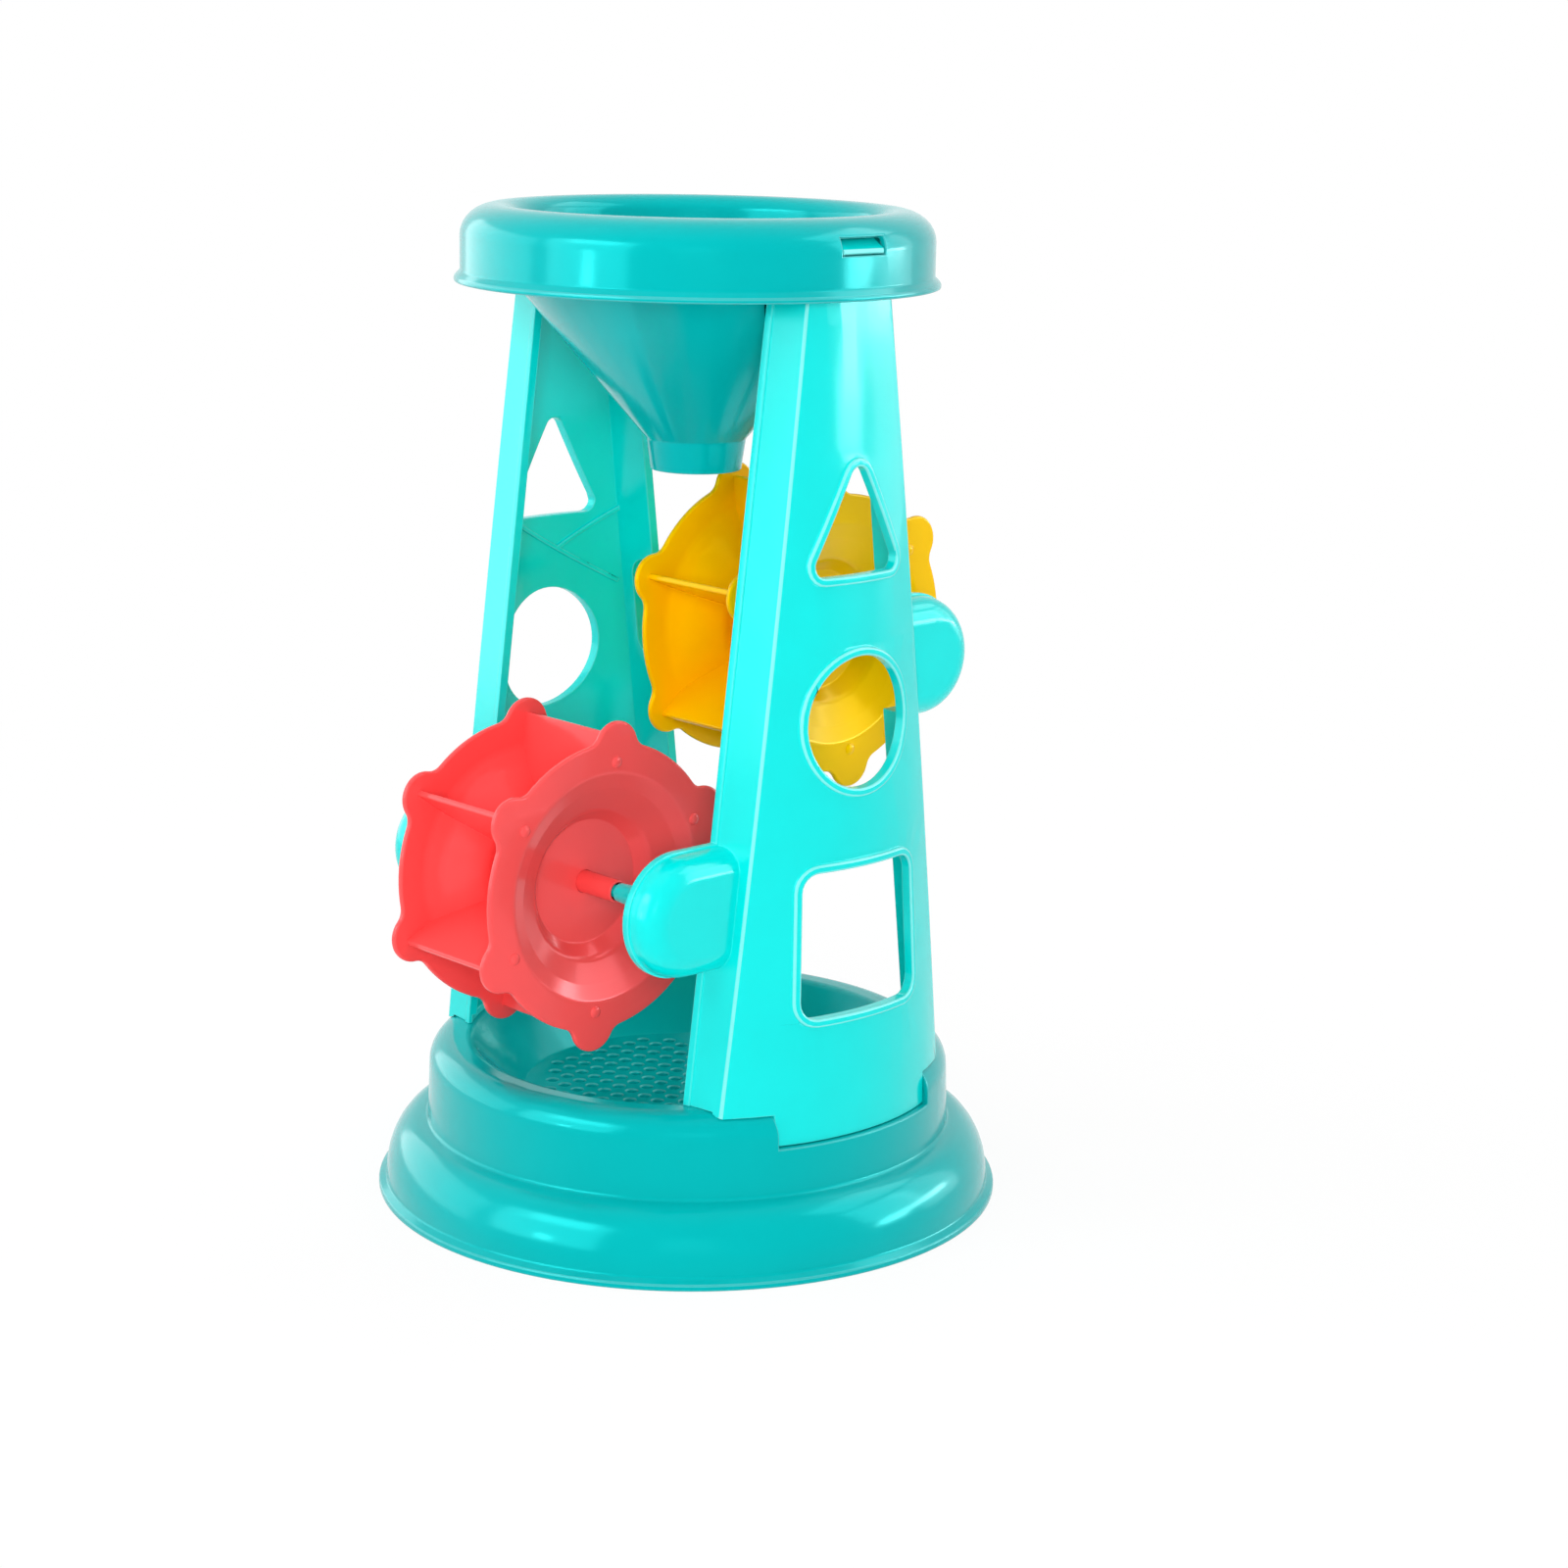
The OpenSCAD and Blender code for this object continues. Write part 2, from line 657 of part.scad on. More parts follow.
// The lobed outline of a disc: round tips, hollow blends and round valleys
module lobed_outline() {
    reach = valley_r + blend_r;
    span = lobe_r + blend_r;
    blend_at = acos((reach * reach + lobe_x * lobe_x - span * span) / (2 * reach * lobe_x));
    tip_turn = 180 - acos((span * span + lobe_x * lobe_x - reach * reach) / (2 * span * lobe_x));
    step = 360 / lobes;
    valley_turn = step - 2 * blend_at;
    for_lobe = [for (k = [0:lobes - 1]) let (at = k * step) each concat(
        [for (i = [0:2 * blend_steps]) lobe_x * [cos(at), sin(at)]
            + lobe_r * [cos(at - tip_turn + tip_turn * i / blend_steps),
                sin(at - tip_turn + tip_turn * i / blend_steps)]],
        [for (i = [1:blend_steps - 1]) reach * [cos(at + blend_at), sin(at + blend_at)]
            + blend_r * [cos(at + tip_turn + 180 - (tip_turn - blend_at) * i / blend_steps),
                sin(at + tip_turn + 180 - (tip_turn - blend_at) * i / blend_steps)]],
        [for (i = [0:arc_steps]) valley_r * [cos(at + blend_at + valley_turn * i / arc_steps),
            sin(at + blend_at + valley_turn * i / arc_steps)]],
        [for (i = [1:blend_steps - 1]) reach * [cos(at + step - blend_at), sin(at + step - blend_at)]
            + blend_r * [cos(at + step + 180 - blend_at - (tip_turn - blend_at) * i / blend_steps),
                sin(at + step + 180 - blend_at - (tip_turn - blend_at) * i / blend_steps)]])];
    polygon(for_lobe);
}

// One disc, with its flat outside at z = 0 and its dish rising into z > 0
module disc() {
    intersection() {
        rotate_extrude($fn = large_fn) polygon(wall(disc_path(wheel_d), disc_t));
        translate([0, 0, -cut]) linear_extrude(cup_depth + disc_t + 2 * cut) lobed_outline();
    }
}

// The side of a vane, as radius and place along the axle, between the discs' inner faces
module vane_side() {
    inner = pushed(disc_path(vane_r), disc_t);
    rotor_side = [for (p = inner) [p.x, p.y - half_w - disc_t / 2]];
    cover_side = [for (p = inner) [p.x, half_w - p.y - cover_clearance]];
    polygon(concat(rotor_side, reversed(cover_side)));
}

// A wheel's body, with its axle along Z: one disc, the vanes, the hub tube and the pegs
module wheel_body() {
    difference() {
        union() {
            translate([0, 0, -half_w]) disc();
            for (k = [0:lobes - 1]) rotate([0, 0, k * 360 / lobes]) {
                translate([0, vane_t / 2, 0]) rotate([90, 0, 0]) linear_extrude(vane_t) vane_side();
                translate([peg_ring_r, 0, half_w - disc_t - peg_root])
                    cylinder(h = peg_root + disc_t, d = peg_d, $fn = small_fn);
                translate([peg_ring_r, 0, half_w])
                    cylinder(h = peg_out, r1 = peg_r, r2 = peg_r - peg_out, $fn = small_fn);
            }
            translate([0, 0, -hub_end]) cylinder(h = hub_l, r = hub_r, $fn = small_fn);
        }
        translate([0, 0, -hub_end - cut])
            cylinder(h = hub_l + 2 * cut, r = pin_r + pin_clearance, $fn = small_fn);
    }
}

// A wheel's second disc, pressed over the hub tube and the pegs
module wheel_cover() {
    difference() {
        translate([0, 0, half_w]) mirror([0, 0, 1]) disc();
        cylinder(h = hub_l, r = hub_r + cover_clearance, $fn = small_fn);
        for (k = [0:lobes - 1]) rotate([0, 0, k * 360 / lobes]) translate([peg_ring_r, 0, 0])
            cylinder(h = hub_l, r = peg_r + cover_clearance, $fn = small_fn);
    }
}

// Lays a wheel's axle along X, with its first lobe turned back from upright
module as_lower() {
    translate([0, -lower_front, lower_z]) rotate([-lower_turn, 0, 0]) rotate([0, 90, 0]) children();
}

module as_upper() {
    translate([0, upper_back, upper_z]) rotate([-upper_turn, 0, 0]) rotate([0, 90, 0]) children();
}

module lower_wheel() {
    color(coral) as_lower() wheel_body();
}

module lower_wheel_cover() {
    color(coral) as_lower() wheel_cover();
}

module upper_wheel() {
    color(amber) as_upper() wheel_body();
}

module upper_wheel_cover() {
    color(amber) as_upper() wheel_cover();
}

base();
leg_right();
leg_left();
hopper();
lower_wheel();
lower_wheel_cover();
upper_wheel();
upper_wheel_cover();
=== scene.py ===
"""Looks of the sand wheel toy: a hopper on two legs, two bucket wheels and a sieve base."""

import math
import bmesh
import bpy
from mathutils import Matrix, Vector

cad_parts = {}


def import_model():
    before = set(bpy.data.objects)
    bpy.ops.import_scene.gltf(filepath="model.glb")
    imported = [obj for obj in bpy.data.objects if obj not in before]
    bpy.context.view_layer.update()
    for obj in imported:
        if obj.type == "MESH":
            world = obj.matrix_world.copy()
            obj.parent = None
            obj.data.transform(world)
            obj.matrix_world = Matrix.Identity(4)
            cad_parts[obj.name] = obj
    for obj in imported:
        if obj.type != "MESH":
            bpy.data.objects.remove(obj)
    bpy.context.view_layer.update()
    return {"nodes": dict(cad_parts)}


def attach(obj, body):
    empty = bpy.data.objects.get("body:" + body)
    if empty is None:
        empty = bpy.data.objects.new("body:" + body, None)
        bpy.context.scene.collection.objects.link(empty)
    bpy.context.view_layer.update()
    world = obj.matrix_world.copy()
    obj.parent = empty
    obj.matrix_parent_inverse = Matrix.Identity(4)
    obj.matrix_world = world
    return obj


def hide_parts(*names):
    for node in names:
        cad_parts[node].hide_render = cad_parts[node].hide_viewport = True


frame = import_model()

MM = 0.001  # a millimetre in metres

# Camera that took the photograph: azimuth in degrees, distance and height in metres, and how it
# was held, in degrees; the focal length is in pixels of the photograph
CAMERA_AZIMUTH = 48.0
CAMERA_DISTANCE = 0.792887
CAMERA_HEIGHT = 0.295757
CAMERA_PITCH = 13.502
CAMERA_YAW = 1.694
CAMERA_ROLL = 1.098
FOCAL_PIXELS = 3272.124
PHOTO_PIXELS = 1600
SENSOR_MM = 36.0

# Colours of the four plastics, linear, and the tint and level of their plain reflection
TEAL = (0.0, 0.39, 0.395)
AQUA = (0.0, 0.70, 0.67)
CORAL = (0.93, 0.08, 0.08)
AMBER = (1.0, 0.54, 0.0)
TEAL_GLOSS = (0.05, 1.0, 1.0)
AQUA_GLOSS = (0.32, 1.0, 1.0)
CORAL_GLOSS = (1.0, 0.33, 0.38)
AMBER_GLOSS = (1.0, 0.7, 0.0)
GLOSS_LEVEL = 0.6

# Moulded plastic. Mottling varies the roughness and the colour; waves and grain are its relief,
# in metres. Scales and details are those of the noise textures.
ROUGHNESS = 0.15
ROUGHNESS_SPREAD = 0.04
COLOUR_SPREAD = 0.05
MOTTLE_SCALE = 45.0
MOTTLE_DETAIL = 3
WAVE_SCALE = 70.0
WAVE_DETAIL = 1
WAVE_RELIEF = 0.00006
GRAIN_SCALE = 1400.0
GRAIN_DETAIL = 2
GRAIN_RELIEF = 0.000006

# Rounded edges, mm, with the steps across each. On the base and hopper all are the same; on the
# legs, window rims and long corners are bold and the other edges fine.
EDGE_MM = 0.4
EDGE_STEPS = 2
BOLD_EDGE_MM = 0.5
BOLD_STEPS = 3
FINE_EDGE_MM = 0.28
# Painted highlight on rounded outer edges, which stands in for the glints they catch: its attribute's
# name, its value on bold and on other rounded outer edges, and how much of the way to white the colour
# goes where it is 1
GLINT_ATTRIBUTE = "painted_glint"
BOLD_GLINT = 0.42
FINE_GLINT = 0.1
GLINT_PALER = 0.45
# Angles in degrees: edges sharper than the first are rounded, edges sharper than the second stay
# sharp in shading, and faces within the third of each other become one
EDGE_ANGLE = 28.0
SHADE_ANGLE = 35.0
FLAT_ANGLE = 0.4
# Points nearer than the first are welded, and edges shorter than the second go, in metres
WELD_M = 1e-6
TINY_EDGE_M = 4e-5

# Legs' outer face, mm, as in the CAD: its heights, radii and half widths at foot and top
LEG_FOOT_Z, LEG_TOP_Z = 30.0, 231.3
LEG_FOOT_R, LEG_TOP_R = 65.29, 55.0
LEG_FOOT_HALF, LEG_TOP_HALF = 38.3, 13.9
# Heights at which the legs' long faces are cut, so that they triangulate well
LEG_CUTS = (50.0, 100.0, 150.0, 200.0, 226.0)
# A rim's points stand this far out of the face and lie this far inside its edge; a long corner's
# points are this near to both, and this far above the foot
RIM_STANDS = 0.5
RIM_INWARDS = 1.5
CORNER_NEAR = 0.9
CORNER_ABOVE = 1.0

# Wheels, mm, as in the CAD: a wheel's size, and its discs' lobed outline
WHEEL_R = 41.0
HALF_W = 18.0
LOBES = 6
LOBE_R = 6.4
VALLEY_R = 35.8
BLEND_R = 4.0
DISC_T = 1.6
DISC_EDGE = 0.6
# Outside of a disc from its border in to its floor: radius, depth and rounding of each corner
DISH_OUTSIDE = [(30.5, 0.0, 0.0), (28.5, 0.0, 3.5), (24.4, 1.6, 1.2), (18.6, 4.3, 5.0),
                (15.5, 8.0, 0.6)]
DISH_FLOOR = 8.0
DISH_FLOOR_R = 8.0
# Inside of a disc, which is one soft curve
DISH_INSIDE = [(31.5, 1.6, 0.0), (28.8, 1.6, 6.0), (25.17, 3.02, 14.0), (16.0, 9.6, 4.0),
               (9.0, 9.6, 0.0)]
# Vanes: how far out they reach and how near to that a point is on their outer edge, their
# thickness and their edge's rounding, how deep they sink into the rotor's disc and how far they
# end before the cover, and the radii at which they follow the dish
VANE_R = 37.5
VANE_NEAR = 0.01
VANE_T = 1.5
VANE_EDGE = 0.5
VANE_EDGE_STEPS = 3
VANE_SINK = 0.6
VANE_GAP = 0.05
VANE_RADII = [9.0 + 1.5 * i for i in range(16)]
# Hub tube with its bore and the bore's flared mouth, and the discs' holes round it: in the cover,
# and in the rotor's disc, which is one with the tube
HUB_R = 2.8
HUB_END = 22.5
HUB_EDGE = 0.3
BORE_R = 1.68
MOUTH_R = 2.3
MOUTH_DEPTH = 1.6
MOUTH_EDGE = 0.1
HOLE_R = 2.9
WELD_R = 2.2
# Pegs, their round heads, and the holes for them, which are drilled between two heights
PEG_RING_R = 31.0
PEG_R = 1.2
PEG_HEAD_R = 1.5
PEG_HEAD_H = 0.58
PEG_HEAD_LIFT = 0.02
PEG_FOOT = 12.4
PEG_HOLE_R = 1.3
DRILL_FROM = 10.0
DRILL_TO = 20.0
# Steps round each curve
TIP_STEPS = 16
BLEND_STEPS = 6
VALLEY_STEPS = 10
ROUND_STEPS = 4
CORNER_STEPS = 8
TUBE_STEPS = 48
PEG_STEPS = 24
# Places of the axles, mm, and turns of the wheels, degrees
LOWER_AXLE = (0.0, -43.7, 89.09)
UPPER_AXLE = (0.0, 34.0, 142.5)
LOWER_TURN = 5.9
UPPER_TURN = -8.2

# Studio: the even light from all round, the floor's size and paleness, the share of the floor
# that is plain white, which grows to all of it from near the object to far from it, and the
# height that panels and lamps face; lengths in metres
AMBIENT = 0.28
FLOOR_HALF = 6.0
FLOOR_PALE = 0.9
FLOOR_GLOW = 0.9
FLOOR_NEAR = 0.15
FLOOR_FAR = 0.6
AIM_HEIGHT = 0.12
# Panels that only gloss shows, and lamps that only light. Each has its angle from +X and its rise
# in degrees, its distance, width and height in metres, and its radiance.
PANELS = {
    "front": (-95.5, 17.0, 1.1, 0.86, 0.75, 3.6),
    "front_core": (-93.0, 31.0, 1.1, 0.5, 0.28, 4.5),
    "front_spot": (-94.0, 3.0, 1.05, 0.1, 0.1, 14.0),
    "right_tall": (67.0, 15.0, 1.15, 0.5, 0.8, 1.6),
    "right": (42.0, 22.0, 1.15, 0.62, 0.5, 3.2),
    "right_low": (52.0, 6.2, 1.15, 0.8, 0.1, 12.0),
    "right_tip": (38.0, 3.0, 1.15, 0.3, 0.07, 12.0),
    "right_high": (57.0, 48.0, 1.2, 1.0, 0.4, 2.5),
    "left": (-158.0, 12.0, 1.2, 1.5, 0.75, 1.6),
}
LAMPS = {
    "lamp_camera": (-41.0, 14.0, 1.5, 0.5, 0.5, 15.3),
    "lamp_front": (-95.0, 30.0, 1.2, 0.9, 0.7, 1.1),
    "lamp_right": (65.0, 28.0, 1.2, 0.9, 0.7, 2.3),
    "lamp_back": (125.0, 25.0, 1.2, 0.9, 0.7, 2.4),
    "lamp_left": (-155.0, 20.0, 1.2, 0.9, 0.7, 2.0),
    "lamp_bowl": (-125.0, 55.0, 1.2, 0.5, 0.5, 3.5),
    "lamp_top": (-60.0, 70.0, 1.0, 0.6, 0.6, 2.6),
}
WHITE_RAYS = ("Is Camera Ray", "Is Glossy Ray", "Is Transmission Ray")


def linked(name, data):
    """A new object in the scene with the given data."""
    obj = bpy.data.objects.new(name, data)
    bpy.context.scene.collection.objects.link(obj)
    return obj


def camera():
    """The photograph's camera."""
    az, pitch = math.radians(CAMERA_AZIMUTH), math.radians(CAMERA_PITCH)
    yaw, roll = math.radians(CAMERA_YAW), math.radians(CAMERA_ROLL)
    up = Vector((0, 0, 1))
    level = Vector((-math.sin(az), math.cos(az), 0))
    side = Vector((math.cos(az), math.sin(az), 0))
    forward = level * math.cos(yaw) + side * math.sin(yaw)
    side = side * math.cos(yaw) - level * math.sin(yaw)
    top = up * math.cos(pitch) + forward * math.sin(pitch)
    forward = forward * math.cos(pitch) - up * math.sin(pitch)
    right = side * math.cos(roll) + top * math.sin(roll)
    top = top * math.cos(roll) - side * math.sin(roll)
    data = bpy.data.cameras.new("camera")
    data.sensor_width = SENSOR_MM
    data.sensor_fit = "HORIZONTAL"
    data.lens = FOCAL_PIXELS / PHOTO_PIXELS * SENSOR_MM
    obj = linked("camera", data)
    turn = Matrix((right, top, -forward)).transposed().to_4x4()
    place = -level * CAMERA_DISTANCE + up * CAMERA_HEIGHT
    obj.matrix_world = Matrix.Translation(place) @ turn
    bpy.context.scene.camera = obj


# Materials

def noise(nodes, links, place, scale, detail):
    """A noise texture in the object's own coordinates."""
    made = nodes.new("ShaderNodeTexNoise")
    made.inputs["Scale"].default_value = scale
    made.inputs["Detail"].default_value = detail
    links.new(place.outputs["Object"], made.inputs["Vector"])
    return made.outputs["Fac"]


def spread(nodes, links, value, low, high, start=0.0, end=1.0):
    """The value mapped from start and end to low and high."""
    made = nodes.new("ShaderNodeMapRange")
    made.inputs["From Min"].default_value = start
    made.inputs["From Max"].default_value = end
    made.inputs["To Min"].default_value = low
    made.inputs["To Max"].default_value = high
    links.new(value, made.inputs["Value"])
    return made.outputs["Result"]


def bump(nodes, links, height, relief, below=None):
    """A relief from a height value, laid over another one below it."""
    made = nodes.new("ShaderNodeBump")
    made.inputs["Distance"].default_value = relief
    links.new(height, made.inputs["Height"])
    if below:
        links.new(below, made.inputs["Normal"])
    return made.outputs["Normal"]


def plastic(name, colour, gloss):
    """Glossy moulded plastic: mottled, slightly wavy, finely grained, and paler along rounded outer
    edges as a painted highlight.
    """
    material = bpy.data.materials.new(name)
    material.use_nodes = True
    nodes, links = material.node_tree.nodes, material.node_tree.links
    shader = nodes["Principled BSDF"]
    shader.inputs["Specular IOR Level"].default_value = GLOSS_LEVEL
    shader.inputs["Specular Tint"].default_value = (*gloss, 1)
    place = nodes.new("ShaderNodeTexCoord")
    mottle = noise(nodes, links, place, MOTTLE_SCALE, MOTTLE_DETAIL)
    grain = noise(nodes, links, place, GRAIN_SCALE, GRAIN_DETAIL)
    wave = noise(nodes, links, place, WAVE_SCALE, WAVE_DETAIL)
    tone = nodes.new("ShaderNodeMix")
    tone.data_type = "RGBA"
    tone.inputs["A"].default_value = (*[c * (1 - COLOUR_SPREAD) for c in colour], 1)
    tone.inputs["B"].default_value = (*[min(1, c * (1 + COLOUR_SPREAD)) for c in colour], 1)
    links.new(mottle, tone.inputs["Factor"])
    # Painted highlight: rounded outer edges are made paler to stand in for the glints of light they
    # catch
    glint_marks = nodes.new("ShaderNodeAttribute")
    glint_marks.attribute_name = GLINT_ATTRIBUTE
    glint_mix = nodes.new("ShaderNodeMix")
    glint_mix.data_type = "RGBA"
    glint_mix.inputs["B"].default_value = (*[c + (1 - c) * GLINT_PALER for c in colour], 1)
    links.new(tone.outputs["Result"], glint_mix.inputs["A"])
    links.new(glint_marks.outputs["Fac"], glint_mix.inputs["Factor"])
    links.new(glint_mix.outputs["Result"], shader.inputs["Base Color"])
    rough = spread(nodes, links, mottle, ROUGHNESS - ROUGHNESS_SPREAD, ROUGHNESS + ROUGHNESS_SPREAD)
    links.new(rough, shader.inputs["Roughness"])
    relief = bump(nodes, links, wave, WAVE_RELIEF)
    links.new(bump(nodes, links, grain, GRAIN_RELIEF, relief), shader.inputs["Normal"])
    return material


# Meshes

def make(name, points, faces):
    """A closed mesh object from points in millimetres."""
    mesh = bpy.data.meshes.new(name)
    mesh.from_pydata([Vector(p) * MM for p in points], [], faces)
    bm = bmesh.new()
    bm.from_mesh(mesh)
    bmesh.ops.remove_doubles(bm, verts=bm.verts, dist=WELD_M)
    bmesh.ops.recalc_face_normals(bm, faces=bm.faces)
    bm.to_mesh(mesh)
    bm.free()
    return linked(name, mesh)


def skin(rings):
    """Points and quads between closed rings of points, the last of which joins the first."""
    count = len(rings[0])
    faces = []
    for k in range(len(rings)):
        a, b = k * count, (k + 1) % len(rings) * count
        faces += [(a + i, a + (i + 1) % count, b + (i + 1) % count, b + i) for i in range(count)]
    return [p for ring in rings for p in ring], faces


def rounded(corners, closed=False):
    """A path of (x, y) points from corners (x, y, radius), each rounded by its radius."""
    path = []
    last = len(corners) - 1
    for i, (x, y, radius) in enumerate(corners):
        here = Vector((x, y))
        if radius == 0 or (not closed and i in (0, last)):
            path.append(here)
            continue
        u = (Vector(corners[i - 1][:2]) - here).normalized()
        v = (Vector(corners[(i + 1) % len(corners)][:2]) - here).normalized()
        half = u.angle(v) / 2
        middle = here + (u + v).normalized() * radius / math.sin(half)
        start = here + u * radius / math.tan(half) - middle
        end = here + v * radius / math.tan(half) - middle
        turn = start.angle_signed(end)
        first = math.atan2(start.y, start.x)
        path += [middle + radius * Vector((math.cos(first - turn * k / CORNER_STEPS),
                                           math.sin(first - turn * k / CORNER_STEPS)))
                 for k in range(CORNER_STEPS + 1)]
    return path


def turned(name, path, steps, places=((0.0, 0.0),)):
    """A solid of revolution about Z from a closed path of (radius, height), once for each place."""
    points, faces = [], []
    for x, y in places:
        turns = [math.tau * i / steps for i in range(steps)]
        rings = [[(x + p[0] * math.cos(turn), y + p[0] * math.sin(turn), p[1]) for turn in turns]
                 for p in path]
        more, quads = skin(rings)
        faces += [tuple(len(points) + n for n in quad) for quad in quads]
        points += more
    return make(name, points, faces)


def baked(obj):
    """Applies the object's modifiers to its mesh."""
    bpy.context.view_layer.update()
    graph = bpy.context.evaluated_depsgraph_get()
    mesh = bpy.data.meshes.new_from_object(obj.evaluated_get(graph))
    obj.modifiers.clear()
    obj.data = mesh


def combine(obj, tool, operation):
    """Unites the tool with the object, or cuts it out, and drops the tool."""
    boolean = obj.modifiers.new("combine", "BOOLEAN")
    boolean.object = tool
    boolean.operation = operation
    boolean.solver = "EXACT"
    baked(obj)
    bpy.data.objects.remove(tool)


def finished(obj, node, body, material):
    """Shades a piece, gives it its material and its body, and hides the CAD node that it stands for.
    """
    obj.data.polygons.foreach_set("use_smooth", [True] * len(obj.data.polygons))
    obj.data.set_sharp_from_angle(angle=math.radians(SHADE_ANGLE))
    weighted = obj.modifiers.new("weighted", "WEIGHTED_NORMAL")
    weighted.keep_sharp = True
    obj.data.materials.clear()
    obj.data.materials.append(material)
    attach(obj, body)
    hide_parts(node)


def bold(edge):
    """Whether a leg's edge is on a window's raised rim or on a long corner of face and flange."""
    for vert in edge.verts:
        x, y, z = vert.co / MM
        share = (z - LEG_FOOT_Z) / (LEG_TOP_Z - LEG_FOOT_Z)
        stands = math.hypot(x, y) - (LEG_FOOT_R + (LEG_TOP_R - LEG_FOOT_R) * share)
        inwards = LEG_FOOT_HALF + (LEG_TOP_HALF - LEG_FOOT_HALF) * share - abs(y)
        on_rim = stands > RIM_STANDS and inwards > RIM_INWARDS
        on_corner = max(abs(stands), abs(inwards)) < CORNER_NEAR and z > LEG_FOOT_Z + CORNER_ABOVE
        if not (on_rim or on_corner):
            return False
    return True


def rounded_edges(bm, edges, width, steps, painted_glint):
    """Rounds the edges, and notes on the new faces of the outer ones how strongly a painted highlight
    pales their colour.
    """
    made = bmesh.ops.bevel(bm, geom=edges, offset=width * MM, offset_type="OFFSET", segments=steps,
                           profile=0.5, affect="EDGES", clamp_overlap=False, loop_slide=True)
    # Painted highlight: each new outer face gets the strength of its paler, painted edge glint
    glint_marks = bm.faces.layers.float[GLINT_ATTRIBUTE]
    for face in made["faces"]:
        outer = sum(edge.calc_face_angle_signed(0) for edge in face.edges) > 0
        face[glint_marks] = painted_glint if outer else 0.0


def softened(node, name):
    """A copy of a CAD node with every sharp edge rounded, as a moulded part has them."""
    bm = bmesh.new()
    bm.from_mesh(frame["nodes"][node].data)
    bm.faces.layers.float.new(GLINT_ATTRIBUTE)
    bmesh.ops.remove_doubles(bm, verts=bm.verts, dist=WELD_M)
    bmesh.ops.dissolve_limit(bm, angle_limit=math.radians(FLAT_ANGLE), verts=bm.verts,
                             edges=bm.edges)
    bmesh.ops.dissolve_degenerate(bm, dist=TINY_EDGE_M, edges=bm.edges)
    is_leg = node.startswith("leg")
    for height in LEG_CUTS if is_leg else ():
        bmesh.ops.bisect_plane(bm, geom=bm.verts[:] + bm.edges[:] + bm.faces[:], dist=WELD_M,
                               plane_co=(0, 0, height * MM), plane_no=(0, 0, 1))
    least = math.radians(EDGE_ANGLE)
    sharp = [e for e in bm.edges if e.is_manifold and e.calc_face_angle() > least]
    if is_leg:
        thick = [e for e in sharp if e.is_convex and bold(e)]
        chosen = set(thick)
        thin = [e for e in sharp if e not in chosen]
        rounded_edges(bm, thick, BOLD_EDGE_MM, BOLD_STEPS, BOLD_GLINT)
        rounded_edges(bm, [e for e in thin if e.is_valid], FINE_EDGE_MM, EDGE_STEPS, FINE_GLINT)
    else:
        rounded_edges(bm, sharp, EDGE_MM, EDGE_STEPS, FINE_GLINT)
    mesh = bpy.data.meshes.new(name)
    bm.to_mesh(mesh)
    bm.free()
    return linked(name, mesh)


# Wheels

def lobed_outline():
    """Points round a disc's lobed edge, each with the direction that points out of the disc."""
    lobe_x = WHEEL_R - LOBE_R
    reach, span = VALLEY_R + BLEND_R, LOBE_R + BLEND_R
    blend_at = math.acos((reach ** 2 + lobe_x ** 2 - span ** 2) / (2 * reach * lobe_x))
    tip_turn = math.pi - math.acos((span ** 2 + lobe_x ** 2 - reach ** 2) / (2 * span * lobe_x))
    step = math.tau / LOBES
    valley_turn = step - 2 * blend_at
    outline = []

    def arc(radius, at, arc_radius, angles, side):
        middle = Vector((math.cos(at), math.sin(at))) * radius
        for angle in angles:
            way = Vector((math.cos(angle), math.sin(angle)))
            outline.append((middle + way * arc_radius, way * side))

    for k in range(LOBES):
        at = k * step
        tip = [at - tip_turn + 2 * tip_turn * i / TIP_STEPS for i in range(TIP_STEPS + 1)]
        falling = [at + tip_turn + math.pi - (tip_turn - blend_at) * i / BLEND_STEPS
                   for i in range(1, BLEND_STEPS)]
        valley = [at + blend_at + valley_turn * i / VALLEY_STEPS for i in range(VALLEY_STEPS + 1)]
        rising = [at + step + math.pi - blend_at - (tip_turn - blend_at) * i / BLEND_STEPS
                  for i in range(1, BLEND_STEPS)]
        arc(lobe_x, at, LOBE_R, tip, 1)
        arc(reach, at + blend_at, BLEND_R, falling, -1)
        arc(0, 0, VALLEY_R, valley, 1)
        arc(reach, at + step - blend_at, BLEND_R, rising, -1)
    return outline


